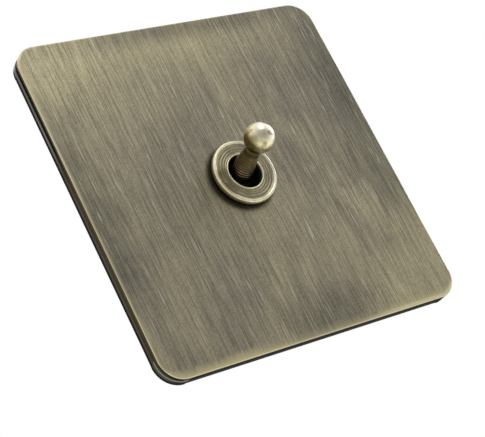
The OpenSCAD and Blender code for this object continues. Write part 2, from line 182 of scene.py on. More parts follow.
def new_object(name, bm, smooth_angle=40.0):
    """A mesh object from bm, whose numbers are in millimetres."""
    bmesh.ops.remove_doubles(bm, verts=bm.verts, dist=WELD)
    bmesh.ops.scale(bm, vec=(MM, MM, MM), verts=bm.verts)
    obj = linked(name, bm)
    shade(obj, smooth_angle)
    return obj


def shade(obj, angle):
    """Smooth shading, but for edges sharper than the angle in degrees."""
    mesh = obj.data
    mesh.polygons.foreach_set("use_smooth", [True] * len(mesh.polygons))
    mesh.set_sharp_from_angle(angle=math.radians(angle))
    weighted = obj.modifiers.new("weighted", "WEIGHTED_NORMAL")
    weighted.keep_sharp = True


def apply_modifiers(obj):
    """Puts the result of obj's modifiers into its mesh."""
    graph = bpy.context.evaluated_depsgraph_get()
    graph.update()
    mesh = bpy.data.meshes.new_from_object(obj.evaluated_get(graph))
    obj.modifiers.clear()
    old, obj.data = obj.data, mesh
    bpy.data.meshes.remove(old)
    mesh.name = obj.name


def add_ring(bm, points):
    return [bm.verts.new(p) for p in points]


def bridge(bm, a, b):
    """Faces between two rings, either of which may be a single vertex."""
    count = max(len(a), len(b))
    if count == 1:
        return
    for i in range(count):
        j = (i + 1) % count
        if len(a) == 1:
            bm.faces.new((a[0], b[i], b[j]))
        elif len(b) == 1:
            bm.faces.new((a[i], a[j], b[0]))
        else:
            bm.faces.new((a[i], a[j], b[j], b[i]))


def bridge_all(bm, rings, closed=False):
    """Bridges each ring to the next, and the last to the first if closed."""
    for a, b in zip(rings, rings[1:] + rings[:1] if closed else rings[1:]):
        bridge(bm, a, b)


def bridge_capped(bm, rings):
    """A closed solid from its rings."""
    bridge_all(bm, rings)
    bm.faces.new(rings[0])
    bm.faces.new(list(reversed(rings[-1])))


def add_lathe(bm, profile, segments, matrix, closed=False):
    """Turns (radius, height) points about Z. Points on the axis become one vertex."""
    angles = [2 * math.pi * i / segments for i in range(segments)]
    rings = []
    for r, h in profile:
        on_axis = abs(r) < 1e-7
        places = [(0, 0, h)] if on_axis else [(r * math.cos(a), r * math.sin(a), h) for a in angles]
        rings.append(add_ring(bm, [matrix @ Vector(place) for place in places]))
    bridge_all(bm, rings, closed)


# Turns a lathe's height into depth: height h lies at y = -h
TOWARDS_ROOM = Matrix.Rotation(math.radians(90), 4, "X")
LEVER_AXIS = Matrix.Translation((0, PIVOT_Y, 0)) @ Matrix.Rotation(math.pi / 2 - TILT, 4, "X")


def towards_wall(x, y, z):
    """Starts at a place and turns a lathe's height towards the wall."""
    return Matrix.Translation((x, y, z)) @ Matrix.Rotation(-math.pi / 2, 4, "X")


def add_prism(bm, outline, holes, y0, y1, edge, steps=2):
    """A flat plate with holes from y0 to y1, whose edges are all rounded, added to bm."""
    curve = bpy.data.curves.new("prism", "CURVE")
    curve.dimensions = "2D"
    curve.fill_mode = "BOTH"
    curve.extrude = (y1 - y0) / 2 - edge
    curve.bevel_depth = edge
    curve.bevel_resolution = steps - 1
    curve.offset = -edge
    for points in [outline, *holes]:
        spline = curve.splines.new("POLY")
        spline.points.add(len(points) - 1)
        for point, (x, z) in zip(spline.points, points):
            point.co = (x, z, 0, 1)
        spline.use_cyclic_u = True
    holder = bpy.data.objects.new("prism", curve)
    scene.collection.objects.link(holder)
    graph = bpy.context.evaluated_depsgraph_get()
    mesh = bpy.data.meshes.new_from_object(holder.evaluated_get(graph))
    mesh.transform(Matrix.Translation((0, (y0 + y1) / 2, 0)) @ TOWARDS_ROOM)
    bm.from_mesh(mesh)
    bmesh.ops.remove_doubles(bm, verts=bm.verts, dist=WELD)
    bpy.data.objects.remove(holder)
    bpy.data.curves.remove(curve)
    bpy.data.meshes.remove(mesh)


def add_sweep(bm, profile):
    """Sweeps (inset, depth) points round the outline of the plate."""
    rings = []
    for inset, y in profile:
        side, r = PLATE_SIDE - 2 * inset, max(PLATE_CORNER - inset, LEAST_CORNER)
        outline = rounded_rect(side, side, r, CORNER_STEPS)
        rings.append(add_ring(bm, [(x, y, z) for x, z in outline]))
    bridge_all(bm, rings)
    return rings


def add_block(bm, low, high):
    """A plain block, as one step towards a boolean."""
    made = bmesh.ops.create_cube(bm, size=1.0)
    size = Vector(high) - Vector(low)
    middle = (Vector(high) + Vector(low)) / 2
    bmesh.ops.scale(bm, vec=size, verts=made["verts"])
    bmesh.ops.translate(bm, vec=middle, verts=made["verts"])


def add_rod(bm, start, end, r, segments=48):
    """A plain round rod between two points, as one step towards a boolean."""
    along = Vector(end) - Vector(start)
    length = along.length
    turn = along.to_track_quat("Z", "Y").to_matrix().to_4x4()
    profile = [(0, 0), (r, 0), (r, length), (0, length)]
    add_lathe(bm, profile, segments, Matrix.Translation(start) @ turn)


def add_slab(bm, outline, y0, y1):
    """A plain slab between two depths, as one step towards a boolean."""
    front = add_ring(bm, [(x, y0, z) for x, z in outline])
    back = add_ring(bm, [(x, y1, z) for x, z in outline])
    bm.faces.new(front)
    bm.faces.new(list(reversed(back)))
    bridge(bm, front, back)


def carved(name, first, steps, edge):
    """Starts from one closed shape, applies (operation, shape) steps and rounds the edges.
    A shape is a function that adds closed, separate solids to a bmesh."""
    parts = []
    for operation, make in [(None, first), *steps]:
        bm = bmesh.new()
        make(bm)
        parts.append((linked(name, bm), operation))
    base = parts[0][0]
    for part, operation in parts[1:]:
        cut = base.modifiers.new("cut", "BOOLEAN")
        cut.operation = operation
        cut.solver = "EXACT"
        cut.object = part
    apply_modifiers(base)
    bm = bmesh.new()
    bm.from_mesh(base.data)
    for part, _ in parts:
        mesh = part.data
        bpy.data.objects.remove(part)
        bpy.data.meshes.remove(mesh)
    return rounded_object(name, bm, edge, WELD)


def rounded_object(name, bm, edge, weld):
    """An object from bm without needless edges, whose sharp edges are rounded."""
    bmesh.ops.remove_doubles(bm, verts=bm.verts, dist=weld)
    bmesh.ops.dissolve_limit(bm, angle_limit=FLAT, verts=bm.verts, edges=bm.edges)
    obj = new_object(name, bm)
    obj.modifiers.clear()
    bevel = obj.modifiers.new("edge", "BEVEL")
    bevel.width = edge * MM
    bevel.segments = 2
    bevel.limit_method = "ANGLE"
    bevel.angle_limit = math.radians(35)
    bevel.use_clamp_overlap = True
    bevel.miter_outer = "MITER_ARC"
    apply_modifiers(obj)
    # Slivers that the rounding leaves on very short edges
    bm = bmesh.new()
    bm.from_mesh(obj.data)
    bmesh.ops.remove_doubles(bm, verts=bm.verts, dist=SLIVER * MM)
    bmesh.ops.dissolve_degenerate(bm, dist=SLIVER * MM, edges=bm.edges)
    bm.to_mesh(obj.data)
    bm.free()
    shade(obj, 50)
    return obj


def rounded_copy(node, edge):
    """A CAD node's shape with its sharp edges rounded."""
    bm = bmesh.new()
    bm.from_mesh(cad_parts[node].data)
    bmesh.ops.scale(bm, vec=(1 / MM,) * 3, verts=bm.verts)
    return rounded_object(node + "_detail", bm, edge, CAD_WELD)


def place(obj, body, node, material):
    """obj rides on the body, stands for the node, and takes its slot and finish."""
    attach(obj, body)
    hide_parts(node)
    obj.data.materials.clear()
    obj.data.materials.append(material)
    return obj


# ---- Material tools ----


class Nodes:
    """A node tree, with short ways to add a node and to fill its sockets."""

    def __init__(self, owner):
        owner.use_nodes = True
        self.tree = owner.node_tree

    def add(self, kind, **inputs):
        node = self.tree.nodes.new("ShaderNode" + kind)
        for key, value in inputs.items():
            self.put(node.inputs[key.replace("_", " ")], value)
        return node

    def put(self, socket, value):
        """Links the value to a socket, or sets it there. A colour is three numbers."""
        if isinstance(value, bpy.types.NodeSocket):
            self.tree.links.new(value, socket)
        else:
            socket.default_value = (*value, 1.0) if socket.type == "RGBA" else value


class Finish(Nodes):
    """A node material on one Principled shader, with short names for what it uses."""

    def __init__(self, name, metallic=0.0):
        self.material = bpy.data.materials.new(name)
        super().__init__(self.material)
        self.shader = self.tree.nodes["Principled BSDF"]
        self.shader.inputs["Metallic"].default_value = metallic
        self.coords = self.add("TexCoord").outputs["Object"]

    def scaled(self, scale, turn=(0, 0, 0)):
        node = self.add("Mapping", Vector=self.coords, Rotation=turn, Scale=scale)
        return node.outputs["Vector"]

    def noise(self, scale, detail=3.0, rough=0.55, coords=None, distort=0.0):
        """Noise about one half. A scale of three numbers stretches it."""
        if isinstance(scale, tuple):
            coords, scale = self.scaled(scale), 1.0
        node = self.add("TexNoise", Vector=coords or self.coords, Scale=scale)
        for key, value in (("Detail", detail), ("Roughness", rough), ("Distortion", distort)):
            self.put(node.inputs[key], value)
        return node.outputs["Fac"]

    def ramp(self, value, low, high, out_low=0.0, out_high=1.0, smooth=True):
        node = self.add("MapRange", Value=value, From_Min=low, From_Max=high)
        node.interpolation_type = "SMOOTHSTEP" if smooth else "LINEAR"
        self.put(node.inputs["To Min"], out_low)
        self.put(node.inputs["To Max"], out_high)
        return node.outputs["Result"]

    def ramp_mm(self, value, low, high, *out):
        """A ramp whose two limits are in millimetres."""
        return self.ramp(value, low * MM, high * MM, *out)

    def math(self, operation, a, b=0.0, clamp=False):
        node = self.add("Math")
        node.operation = operation
        node.use_clamp = clamp
        self.put(node.inputs[0], a)
        self.put(node.inputs[1], b)
        return node.outputs[0]

    def plus(self, a, b, clamp=False):
        return self.math("ADD", a, b, clamp)

    def minus(self, a, b):
        return self.math("SUBTRACT", a, b)

    def times(self, a, b):
        return self.math("MULTIPLY", a, b)

    def larger(self, a, b):
        return self.math("MAXIMUM", a, b)

    def apart(self, a, b):
        """How far a is from b."""
        return self.math("ABSOLUTE", self.minus(a, b))

    def hypotenuse(self, a, b):
        return self.math("SQRT", self.plus(self.times(a, a), self.times(b, b)))

    def shares(self, a, share_a, b, share_b):
        """A weighted sum."""
        return self.plus(self.times(a, share_a), self.times(b, share_b))

    def vector(self, operation, a, b):
        node = self.add("VectorMath")
        node.operation = operation
        self.put(node.inputs[0], a)
        self.put(node.inputs[1], b)
        return node.outputs["Value"]

    def mix(self, factor, a, b, blend="MIX"):
        """Colour a where the factor is 0 and colour b where it is 1."""
        node = self.add("Mix")
        node.data_type = "RGBA"
        node.blend_type = blend
        for index, value in ((0, factor), (6, a), (7, b)):
            self.put(node.inputs[index], value)
        return node.outputs[2]

    def xyz(self, coords=None):
        return self.add("SeparateXYZ", Vector=coords or self.coords).outputs[:]

    def colour(self, value):
        self.put(self.shader.inputs["Base Color"], value)

    def roughness(self, value):
        self.put(self.shader.inputs["Roughness"], value)

    def bump(self, height, distance, strength):
        """distance is in millimetres."""
        node = self.add("Bump", Height=height, Distance=distance * MM, Strength=strength)
        self.put(self.shader.inputs["Normal"], node.outputs["Normal"])

    def edges(self, radius):
        """1 near a sharp or rounded edge, 0 on flat ground."""
        bevel = self.add("Bevel", Radius=radius * MM)
        bevel.samples = 4
        flat = self.add("NewGeometry")
        dot = self.vector("DOT_PRODUCT", bevel.outputs["Normal"], flat.outputs["Normal"])
        return self.ramp(dot, 0.99, 0.86)


def times_all(colour, share):
    """The colour made darker or lighter."""
    return tuple(c * share for c in colour)


# ---- Finishes ----


def inside_outline(f, x, z):
    """How far a place is inside the plate's outline, in millimetres."""
    inner = (PLATE_SIDE / 2 - PLATE_CORNER) * MM
    past_x = f.minus(f.math("ABSOLUTE", x), inner)
    past_z = f.minus(f.math("ABSOLUTE", z), inner)
    corner = f.hypotenuse(f.larger(past_x, 0.0), f.larger(past_z, 0.0))
    outward = f.plus(corner, f.math("MINIMUM", f.larger(past_x, past_z), 0.0))
    return f.times(f.minus(PLATE_CORNER * MM, outward), 1 / MM)


def darker_edge_bands(f, x, z, cloudy):
    """1 where the plate is made darker: along the two upright sides, less so near their ends,
    under the top edge and above the middle of the lower one."""
    left = f.times(f.ramp_mm(x, -31, -41, 0.0, 0.85), f.ramp_mm(f.apart(z, 3 * MM), 30, 17))
    right_ends = f.times(f.ramp_mm(z, -30, -10), f.ramp_mm(z, 44, 32, 0.4, 1.0))
    right = f.times(f.ramp_mm(x, 27, 42), right_ends)
    top_ends = f.times(f.ramp_mm(x, -36, -4, 0.35, 1.0), f.ramp_mm(x, 34, 18, 0.6, 1.0))
    top = f.times(f.ramp_mm(f.plus(z, f.times(cloudy, 4 * MM)), 38.5, 43.5), top_ends)
    foot = f.times(f.ramp_mm(z, -29, -38, 0.0, 0.72), f.ramp_mm(f.apart(x, 5 * MM), 21, 7))
    darkened = f.larger(f.larger(left, right), f.larger(top, foot))
    return f.times(darkened, f.ramp(cloudy, 0.3, 0.7, 1.0, 0.85))


def with_worn_edges_and_painted_highlights(f, colour, x, z, strokes, cloudy):
    """The colour with worn, yellower metal along the plate's left and lower edges, and a painted
    highlight on them.
    """
    depth = inside_outline(f, x, z)
    to_left, to_foot = f.plus(x, PLATE_SIDE / 2 * MM), f.plus(z, PLATE_SIDE / 2 * MM)
    worn_and_lit_sides = f.ramp_mm(f.math("MINIMUM", to_left, to_foot), 3.0, 1.5, 0.1, 1.0)
    at_foot = f.ramp_mm(to_foot, 4.0, 2.0)
    foot_wear_and_highlight = f.times(at_foot, f.ramp_mm(f.apart(x, 3 * MM), 6, 26, 0.2, 1.0))
    # A ragged band, widest near the corners
    ragged = f.ramp(f.plus(strokes, cloudy), 0.7, 1.3, -0.9, 0.9, smooth=False)
    band = f.ramp(f.plus(depth, ragged), 2.9, 0.2, 0.0, 0.95)
    wear = f.larger(foot_wear_and_highlight, f.ramp_mm(f.math("ABSOLUTE", z), 20, 36, 0.0, 0.35))
    colour = f.mix(f.times(wear, f.times(worn_and_lit_sides, band)), colour, (0.56, 0.50, 0.29))
    # Bright worn metal at the lower edge, with a painted highlight that grows towards the right
    rubbed = f.times(foot_wear_and_highlight, f.ramp(depth, 1.3, 0.3))
    rubbed = f.times(rubbed, f.ramp_mm(x, -30, 24, 0.25, 0.9))
    colour = f.mix(rubbed, colour, (0.86, 0.79, 0.50))
    # A thin line on the rounding of both edges: worn metal with a painted highlight
    foot_line = f.times(at_foot, f.ramp(foot_wear_and_highlight, 0.2, 0.9, 0.62, 1.0))
    line = f.times(f.larger(foot_line, f.ramp_mm(z, -6, 20, 0.6, 1.0)), worn_and_lit_sides)
    thin_highlight = f.times(f.ramp(depth, 0.6, 0.2, 0.0, 0.9), line)
    return f.mix(thin_highlight, colour, (0.72, 0.65, 0.41))


def plate_brass():
    f = Finish("plate_brass", 1.0)
    x, y, z = f.xyz()

    # Brush strokes along Z, coarse to fine, and the patina's clouds
    broad = f.noise((1500, 1500, 50), 2.0, 0.5)
    strokes = f.noise((3600, 3600, 58), 1.0, 0.5)
    hair = f.noise((5600, 5600, 110), 0.0, 0.5)
    pits = f.noise(3400.0, 1.0, 0.5)
    scratch = f.noise((3600, 3600, 140), 1.0, 0.5)
    clouds = f.noise((24, 24, 19), 3.0, 0.5, distort=0.7)
    small_clouds = f.noise((70, 70, 62), 3.0, 0.55, distort=0.9)
    patina = f.shares(clouds, 0.6, small_clouds, 0.4)
    grain = f.plus(f.shares(broad, 0.02, pits, 0.36), f.shares(strokes, 0.17, hair, 0.45))

    # Painted light: the plate is made lighter along the top, most of all on the left, and
    # towards the lower right corner
    painted_light = f.plus(
        f.ramp_mm(f.minus(z, f.times(x, 0.35)), 12, 56, 0.0, 0.62),
        f.ramp_mm(f.minus(x, z), 10, 74, 0.0, 0.33),
    )
    # The ground is lighter where the patina is thin and where light is painted
    pale_and_painted_light = f.plus(f.ramp(patina, 0.34, 0.68, 0.0, 0.46), painted_light, clamp=True)
    ground = f.mix(pale_and_painted_light, (0.252, 0.231, 0.186), (0.545, 0.49, 0.308))
    darkened = darker_edge_bands(f, x, z, small_clouds)
    ground = f.mix(darkened, ground, (0.56, 0.58, 0.63), "MULTIPLY")
    streaked = f.mix(f.ramp(grain, 0.36, 0.64), (0.695, 0.695, 0.70), (1.33, 1.32, 1.29))
    colour = f.mix(1.0, ground, streaked, "MULTIPLY")
    # A few deep, dark strokes and, in groups, bright scratches
    colour = f.mix(f.ramp(strokes, 0.62, 0.76, 0.0, 0.05), colour, (0.13, 0.115, 0.09))
    grouped = f.ramp(f.noise((260, 260, 45), 2.0, 0.5), 0.40, 0.60, 0.35, 1.0)
    bright = f.times(f.ramp(scratch, 0.63, 0.72, 0.0, 0.65), grouped)
    colour = f.mix(bright, colour, (0.70, 0.65, 0.51))
    colour = with_worn_edges_and_painted_highlights(f, colour, x, z, strokes, small_clouds)

    # Painted shadow round the collar, offset to the lower left, and painted shade on the cut side,
    # darkest along its lower edge
    flat = f.add("CombineXYZ", X=x, Z=z).outputs[0]
    from_collar = f.vector("DISTANCE", flat, (-1.15 * MM, 0, -0.75 * MM))
    shadowed = f.ramp_mm(from_collar, COLLAR_R - 0.35, COLLAR_R + 1.25, 0.9, 0.0)
    colour = f.mix(shadowed, colour, (0.022, 0.019, 0.014))
    side = f.ramp_mm(y, FRONT_Y + 0.3, FRONT_Y + 0.55)
    cut = f.mix(f.ramp_mm(z, -36, -40), (0.20, 0.16, 0.09), (0.045, 0.038, 0.026))
    f.colour(f.mix(side, colour, cut))
    f.roughness(f.ramp(grain, 0.36, 0.64, 0.46, 0.36))
    f.bump(grain, 0.06, 0.5)
    return f.material


def turned_brass(name, turn, tint, dark, rings, by_radius, ring_scale):
    """Aged brass from a lathe. turn brings the piece's own axis to Z."""
    f = Finish(name, 1.0)
    x, y, z = f.xyz(f.scaled((1, 1, 1), turn))
    radius = f.hypotenuse(x, y)
    line = f.add("CombineXYZ", X=f.times(radius if by_radius else z, ring_scale))
    turned = f.noise(1.0, 3.0, 0.6, coords=line.outputs[0])
    patch = f.noise(230.0, 3.0, 0.6, distort=0.4)
    speck = f.noise(1400.0, 3.0, 0.6)
    colour = f.mix(f.ramp(patch, 0.36, 0.68), dark, tint)
    colour = f.mix(f.ramp(turned, 0.35, 0.65, 0.0, rings), colour, times_all(dark, 0.45))
    colour = f.mix(f.ramp(speck, 0.60, 0.75, 0.0, 0.35), colour, times_all(dark, 0.55))
    f.roughness(f.ramp(f.shares(patch, 0.6, turned, 0.4), 0.35, 0.65, 0.22, 0.34))
    f.bump(turned, 0.04, 0.6)
    return f, colour, (x, z), radius, patch


def collar_brass():
    tint, dark = (0.52, 0.47, 0.31), (0.32, 0.285, 0.175)
    f, face, (x, z), radius, patch = turned_brass(
        "collar_brass", (math.pi / 2, 0, 0), tint, dark, 0.8, True, 3800.0
    )
    rim = f.ramp_mm(radius, COLLAR_R - 0.95, COLLAR_R - 0.7)
    lip = f.ramp_mm(radius, HOLE_R + 0.5, HOLE_R + 0.36)
    polish_and_painted_light = f.mix(f.ramp(patch, 0.35, 0.65), (0.72, 0.66, 0.38), (0.92, 0.88, 0.64))
    # Made whiter on its right, a painted highlight, and dark inside the hole, a painted shade
    polish_and_painted_light = f.mix(f.ramp_mm(x, 0, 6, 0.0, 0.75), polish_and_painted_light, (0.80, 0.78, 0.68))
    colour = f.mix(f.larger(rim, lip), face, polish_and_painted_light)
    bore = f.ramp_mm(radius, HOLE_R + 0.07, HOLE_R + 0.02, 0.0, 0.9)
    colour = f.mix(bore, colour, (0.05, 0.04, 0.025))
    # Painted shade: the wall is darker and greener on the left, and darkest at its foot, by the
    # plate
    height = f.minus(f.math("ABSOLUTE", z), -FRONT_Y * MM)
    left_wall_shade = f.times(f.ramp_mm(height, 1.62, 1.25), f.ramp_mm(x, -1, -6, 0.0, 0.6))
    colour = f.mix(f.times(left_wall_shade, rim), colour, (0.33, 0.29, 0.12))
    foot = f.ramp_mm(height, 1.2, 0.2, 0.0, 0.93)
    f.colour(f.mix(f.times(foot, rim), colour, (0.075, 0.062, 0.03)))
    f.shader.inputs["Metallic"].default_value = 0.6
    return f.material


def lever_brass():
    tint, dark = (0.53, 0.44, 0.205), (0.25, 0.195, 0.082)
    f, body, (_, z), _, patch = turned_brass(
        "lever_brass", (math.pi / 2 + TILT, 0, 0), tint, dark, 0.6, False, 3000.0
    )
    middle = LEVER_AXIS @ Vector((0, 0, BALL_S)) * MM

    def beyond_middle(direction):
        """How far a place is from the knob's middle in one direction."""
        along = f.vector("DOT_PRODUCT", f.coords, direction)
        return f.minus(along, Vector(direction).dot(middle))

    # Painted highlight makes the knob near white on its upper right, and painted shade makes its
    # lower left dark brown
    polish_and_painted_light = f.mix(f.ramp(patch, 0.35, 0.65), (0.74, 0.655, 0.34), (0.94, 0.89, 0.66))
    pale_and_painted_light = f.ramp_mm(beyond_middle((0.70, -0.64, 0.30)), 0, 2.8, 0.0, 0.85)
    polish_and_painted_light = f.mix(pale_and_painted_light, polish_and_painted_light, (0.90, 0.88, 0.80))
    knob_shade = f.times(
        f.ramp_mm(beyond_middle((-0.79, 0.43, 0.43)), -0.9, 1.7, 0.0, 0.95),
        f.ramp_mm(beyond_middle((0.20, -0.48, 0.85)), 1.5, -0.3, 0.1, 1.0),
    )
    polish_and_painted_light = f.mix(knob_shade, polish_and_painted_light, (0.195, 0.155, 0.042))
    blotch = f.noise(330.0, 2.0, 0.5, distort=0.8)
    polish_and_painted_light = f.mix(f.ramp(blotch, 0.52, 0.66, 0.0, 0.8), polish_and_painted_light, (0.33, 0.25, 0.13))
    # The neck is duller and darker towards its foot, with a painted shadow ring under the knob
    along_axis = f.math("ABSOLUTE", z)
    dull = f.mix(f.ramp(patch, 0.36, 0.68), (0.14, 0.112, 0.07), (0.27, 0.23, 0.16))
    body = f.mix(f.ramp_mm(along_axis, 10.5, 7.0, 0.15, 0.85), body, dull)
    under_knob_shadow = f.times(f.ramp_mm(along_axis, 10.2, 11.0), f.ramp_mm(along_axis, 12.2, 11.3, 0.0, 0.6))
    body = f.mix(under_knob_shadow, body, (0.055, 0.042, 0.012))
    knob = f.ramp_mm(f.minus(along_axis, (BALL_S - BALL_R - 0.4) * MM), 0, 1.2)
    f.colour(f.mix(knob, body, polish_and_painted_light))
    return f.material


def machined_metal(name, tint, dark, rough, grain, stain=(0.3, 0.24, 0.15), stain_share=0.3):
    """Metal with a grain, patches, specks of stain and edges rubbed bright."""
    f = Finish(name, 1.0)
    lines = f.noise(grain, 4.0, 0.6)
    patch = f.noise(160.0, 3.0, 0.6, distort=0.5)
    speck = f.noise(1900.0, 3.0, 0.65)
    rubbed = tuple(min(c * 1.25, 0.97) for c in tint)
    colour = f.mix(f.ramp(patch, 0.35, 0.68), dark, tint)
    colour = f.mix(f.ramp(lines, 0.45, 0.68, 0.0, 0.35), colour, times_all(dark, 0.75))
    colour = f.mix(f.ramp(speck, 0.60, 0.74, 0.0, stain_share), colour, stain)
    f.colour(f.mix(f.times(f.edges(0.14), 0.6), colour, rubbed))
    f.roughness(f.ramp(f.shares(lines, 0.5, patch, 0.5), 0.35, 0.65, *rough))
    f.bump(f.shares(lines, 0.7, speck, 0.3), 0.03, 0.5)
    return f.material


def plastic(name, tint, rough, texture, worn, specular=0.5):
    """Moulded plastic: a fine grain, faint flow marks and edges rubbed a little lighter."""
    f = Finish(name)
    pebble = f.noise(texture, 3.0, 0.6)
    flow = f.noise((90, 90, 30), 3.0, 0.5, distort=1.2)
    dust = f.noise(700.0, 4.0, 0.7)
    colour = f.mix(f.ramp(flow, 0.35, 0.65), times_all(tint, 0.75), times_all(tint, 1.3))
    colour = f.mix(f.ramp(dust, 0.60, 0.80, 0.0, 0.25), colour, worn)
    colour = f.mix(f.times(f.edges(0.2), 0.45), colour, worn)
    uneven = f.shares(pebble, 0.5, dust, 0.5)
    f.roughness(f.ramp(uneven, 0.35, 0.65, rough - 0.05, rough + 0.07))
    f.bump(pebble, 0.04, 0.45)
    f.shader.inputs["Specular IOR Level"].default_value = specular
    return f, colour, flow


def moulded_plastic(*look):
    f, colour, _ = plastic(*look)
    f.colour(colour)
    return f.material


def frame_black():
    """The frame's black plastic, with a painted grey highlight on its left band and a painted
    brown reflection on the step behind the plate."""
    tint, worn = (0.010, 0.009, 0.007), (0.014, 0.012, 0.008)
    f, colour, flow = plastic("frame_black", tint, 0.24, 900.0, worn, specular=0.14)
    x, y, z = f.xyz()
    left = f.times(f.ramp_mm(x, -39, -42), f.ramp(flow, 0.2, 0.6, 0.6, 1.0))
    upper = f.ramp_mm(f.plus(z, f.times(flow, 8 * MM)), 12, 22)

    def zone(low, high):
        """1 between two depths in millimetres, with soft ends."""
        soft = (high - low) * 0.35
        return f.times(f.ramp_mm(y, low, low + soft), f.ramp_mm(y, high, high - soft))

    # Painted brown reflection of the brass on the step, on the left, and a painted grey highlight
    # streak on the band
    step = f.mix(upper, (0.15, 0.12, 0.065), (0.012, 0.010, 0.008))
    colour = f.mix(f.times(zone(FRAME_LOW.y - 0.4, BAND_Y + 0.4), left), colour, step)
    highlight_streak = f.mix(upper, (0.10, 0.086, 0.056), (0.26, 0.245, 0.205))
    colour = f.mix(f.times(zone(BAND_Y + 0.05, BAND_Y + 1.1), left), colour, highlight_streak)
    # A painted thin highlight line round the lower left corner
    turning = f.ramp_mm(f.plus(x, z), -79.0, -79.9)
    line = f.times(zone(BAND_Y, BAND_Y + 0.3), turning)
    colour = f.mix(line, colour, (0.30, 0.285, 0.24))
    # The inside and the back keep the plastic's own, duller black
    raw = f.mix(f.ramp(flow, 0.35, 0.65), (0.030, 0.030, 0.031), (0.052, 0.052, 0.053))
    f.colour(f.mix(f.ramp(inside_outline(f, x, z), 0.95, 1.5), colour, raw))
    return f.material


# ---- What is seen from the room ----


def make_face_plate(material):
    bm = bmesh.new()
    front, back = FRONT_Y, PLATE_BACK_Y
    front_edge, back_edge = 0.38, 0.12
    profile = arc_points(front_edge, front + front_edge, front_edge, 270, 180, 5)
    profile += arc_points(back_edge, back - back_edge, back_edge, 180, 90, 2)
    rings = add_sweep(bm, profile)
    angles = [math.atan2(vertex.co.z, vertex.co.x) for vertex in rings[0]]

    def hole_ring(r, y):
        return add_ring(bm, [(r * math.cos(a), y, r * math.sin(a)) for a in angles])

    hole_r, chamfer = 7.0, 0.08
    hole = [
        hole_ring(hole_r + chamfer, front),
        hole_ring(hole_r, front + chamfer),
        hole_ring(hole_r, back - chamfer),
        hole_ring(hole_r + chamfer, back),
    ]
    bridge_all(bm, [rings[0], *hole, rings[-1]])
    # Pegs, each with a weld fillet at its foot
    peg = [(0, -0.3), (2.1, -0.3), (2.1, 0.0), (1.62, 0.12), (1.5, 0.3), (1.5, 0.6)]
    peg += [(1.3, 0.8), (0, 0.8)]
    for sx, sz in CORNERS:
        add_lathe(bm, softened(peg, 0.1), 40, towards_wall(sx * PEG, back, sz * PEG))
    place(new_object("brass_plate", bm), "switch", "face_plate", material)


def band_outline(inset):
    """The plate's outline, whose straight sides are set in a little between the round corners."""
    middle = PLATE_SIDE / 2 - PLATE_CORNER
    r = max(PLATE_CORNER - inset, LEAST_CORNER)
    drop, slope = max(RELIEF - inset, 0.0), 0.1
    points = []
    for sx, sz, a in ((1, 1, 0), (-1, 1, 90), (-1, -1, 180), (1, -1, 270)):
        c, s = round(math.cos(math.radians(a))), round(math.sin(math.radians(a)))
        arc = arc_points(sx * middle, sz * middle, r, a, a + 90, CORNER_STEPS)
        (x0, z0), (x1, z1) = arc[0], arc[-1]
        points.append((x0 - c * drop + s * slope, z0 - s * drop - c * slope))
        points += arc
        points.append((x1 + s * drop - c * slope, z1 - c * drop - s * slope))
    return points


def make_trim_frame(material):
    bm = bmesh.new()
    front = FRAME_LOW.y
    profile = [
        (0.72, front),
        (0.6, front + 0.12),
        (0.6, BAND_Y - 0.10),
        (0.5, BAND_Y),
        (0.36, BAND_Y + 0.02),
        (0.17, BAND_Y + 0.11),
        (0.05, BAND_Y + 0.28),
        (0.0, BAND_Y + 0.52),
        (0.0, -0.12),
        (0.08, 0.0),
        (FRAME_WALL - 0.2, 0.0),
        (FRAME_WALL, -0.2),
        (FRAME_WALL, front),
    ]
    rings = []
    for inset, y in softened(profile, 0.08, 2, closed=True):
        rings.append(add_ring(bm, [(x, y, z) for x, z in band_outline(inset)]))
    bridge_all(bm, rings, closed=True)
    # The web, with the nut's hole and those for the plate's pegs and the fixing screws' heads
    nut_hole_r, peg_hole_r, head_hole_r = 10.5, 1.7, 4.6
    holes = [circle(nut_hole_r, 72)]
    holes += [circle(peg_hole_r, 32, sx * PEG, sz * PEG) for sx, sz in CORNERS]
    holes += [circle(head_hole_r, 48, sx * FIXING_X, 0) for sx in SIDES]
    inner = PLATE_SIDE - 2 * (FRAME_WALL - 0.1)
    add_prism(bm, rounded_rect(inner, inner, 2.4), holes, front, WEB_REAR_Y, 0.08)
    # Boss round the nut's hole, and the ribs above and below it
    rib_y, root_y, boss_r = -0.2, WEB_REAR_Y - 0.2, 11.7
    boss = [(nut_hole_r, -rib_y), (boss_r, -rib_y), (boss_r, -root_y), (nut_hole_r, -root_y)]
    add_lathe(bm, softened(boss, 0.15, 3, closed=True), 96, TOWARDS_ROOM, closed=True)
    for sz in SIDES:
        z0, z1 = sz * (boss_r - 0.2), sz * (PLATE_SIDE / 2 - FRAME_WALL + 0.2)
        outline = rounded_rect(1.2, abs(z1 - z0), 0.2, 3, 0, (z0 + z1) / 2)
        add_prism(bm, outline, [], root_y, rib_y, 0.12)
    # Snap hooks behind the yoke's upper and lower edges
    leg, hook_x, hook_half = 28.2, 12, 3
    barb_y, tip_y = YOKE_HIGH.y + 0.1, FRAME_HIGH.y
    hook = [(root_y, leg), (barb_y, leg), (barb_y, leg - 0.7)]
    hook += [(tip_y, leg + 0.1), (tip_y, leg + 1.2), (root_y, leg + 1.2)]
    hook = softened(hook, 0.12, 3, closed=True)
    for sx, sz in CORNERS:
        points = [(y, sz * z) for y, z in hook]
        if sz < 0:
            points.reverse()
        add_hook(bm, points, sx * hook_x - hook_half, sx * hook_x + hook_half)
    place(new_object("black_trim_frame", bm), "switch", "trim_frame", material)


